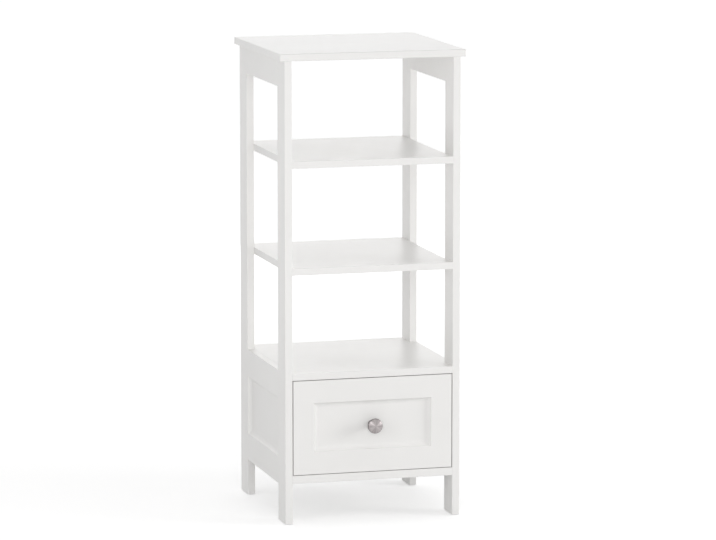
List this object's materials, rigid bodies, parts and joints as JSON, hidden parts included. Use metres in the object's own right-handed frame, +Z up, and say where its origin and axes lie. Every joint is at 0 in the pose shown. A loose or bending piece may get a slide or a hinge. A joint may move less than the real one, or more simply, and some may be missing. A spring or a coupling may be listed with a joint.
{
  "type": "bathroom cabinet",
  "caption": "Tall narrow free-standing bathroom cabinet with open shelves between framed sides and a framed drawer on roller runners.",
  "frame": {"origin": "on the floor, at the middle of the overall width and of the overall depth with the knob", "axes": "+Z up, the drawer front faces -Y, +X to the right seen from the front"},
  "size_m": [0.406, 0.413, 1.001],
  "materials": {
    "painted_board": "white satin paint on fibreboard",
    "drawer_board": "white foil on fibreboard",
    "thin_board": "white lacquered hardboard",
    "dowel_wood": "plain beech",
    "zinc_steel": "bright zinc",
    "cam_zinc": "die-cast zinc",
    "runner_coat": "white epoxy coat",
    "roller_nylon": "natural nylon",
    "knob_metal": "brushed nickel",
    "glide_plastic": "moulded plastic"
  },
  "bodies": {
    "carcass": {"top_panel": "painted_board", "upper_shelf": "painted_board", "middle_shelf": "painted_board", "lower_shelf": "painted_board", "bottom_panel": "painted_board", "top_rail_left": "painted_board", "top_rail_right": "painted_board", "side_panel_left": "painted_board", "side_panel_right": "painted_board", "post_front_left": "painted_board", "post_front_right": "painted_board", "post_back_left": "painted_board", "post_back_right": "painted_board", "back_panel": "thin_board", "shelf_cam_bolts": "zinc_steel", "shelf_cam_locks": "cam_zinc", "shelf_dowels": "dowel_wood", "top_cam_bolts": "zinc_steel", "top_cam_locks": "cam_zinc", "side_tenons": "dowel_wood", "foot_glides": "glide_plastic", "cabinet_runner_screws": "zinc_steel", "cabinet_runner_left": "runner_coat", "cabinet_runner_right": "runner_coat", "front_roller_pin_left": "zinc_steel", "front_roller_pin_right": "zinc_steel"},
    "drawer": {"drawer_front": "painted_board", "drawer_side_left": "drawer_board", "drawer_side_right": "drawer_board", "drawer_back": "drawer_board", "drawer_bottom": "thin_board", "knob": "knob_metal", "knob_screw": "zinc_steel", "drawer_cam_bolts": "zinc_steel", "drawer_cam_locks": "cam_zinc", "drawer_back_screws": "zinc_steel", "drawer_runner_screws": "zinc_steel", "drawer_runner_left": "runner_coat", "drawer_runner_right": "runner_coat", "rear_roller_pin_left": "zinc_steel", "rear_roller_pin_right": "zinc_steel"},
    "front_roller_left": {"front_roller_left": "roller_nylon"},
    "rear_roller_left": {"rear_roller_left": "roller_nylon"},
    "front_roller_right": {"front_roller_right": "roller_nylon"},
    "rear_roller_right": {"rear_roller_right": "roller_nylon"}
  },
  "joints": [
    {"name": "drawer_slide", "type": "slide", "parent": "carcass", "child": "drawer", "axis": [0, -1, 0], "range_m": [0, 0.27]},
    {"name": "front_roller_left_spin", "type": "hinge", "parent": "carcass", "child": "front_roller_left", "pos_m": [-0.16975, -0.1525, 0.1273], "axis": [1, 0, 0], "range_deg": [-5, 1725]},
    {"name": "rear_roller_left_spin", "type": "hinge", "parent": "drawer", "child": "rear_roller_left", "pos_m": [-0.16975, 0.1585, 0.1273], "axis": [1, 0, 0], "range_deg": [-5, 1725]},
    {"name": "front_roller_right_spin", "type": "hinge", "parent": "carcass", "child": "front_roller_right", "pos_m": [0.16975, -0.1525, 0.1273], "axis": [1, 0, 0], "range_deg": [-5, 1725]},
    {"name": "rear_roller_right_spin", "type": "hinge", "parent": "drawer", "child": "rear_roller_right", "pos_m": [0.16975, 0.1585, 0.1273], "axis": [1, 0, 0], "range_deg": [-5, 1725]}
  ],
  "couplings": [
    {"joint": "front_roller_left_spin", "follows": "drawer_slide", "rad_per_m": 111.11},
    {"joint": "rear_roller_left_spin", "follows": "drawer_slide", "rad_per_m": 111.11},
    {"joint": "front_roller_right_spin", "follows": "drawer_slide", "rad_per_m": 111.11},
    {"joint": "rear_roller_right_spin", "follows": "drawer_slide", "rad_per_m": 111.11}
  ]
}
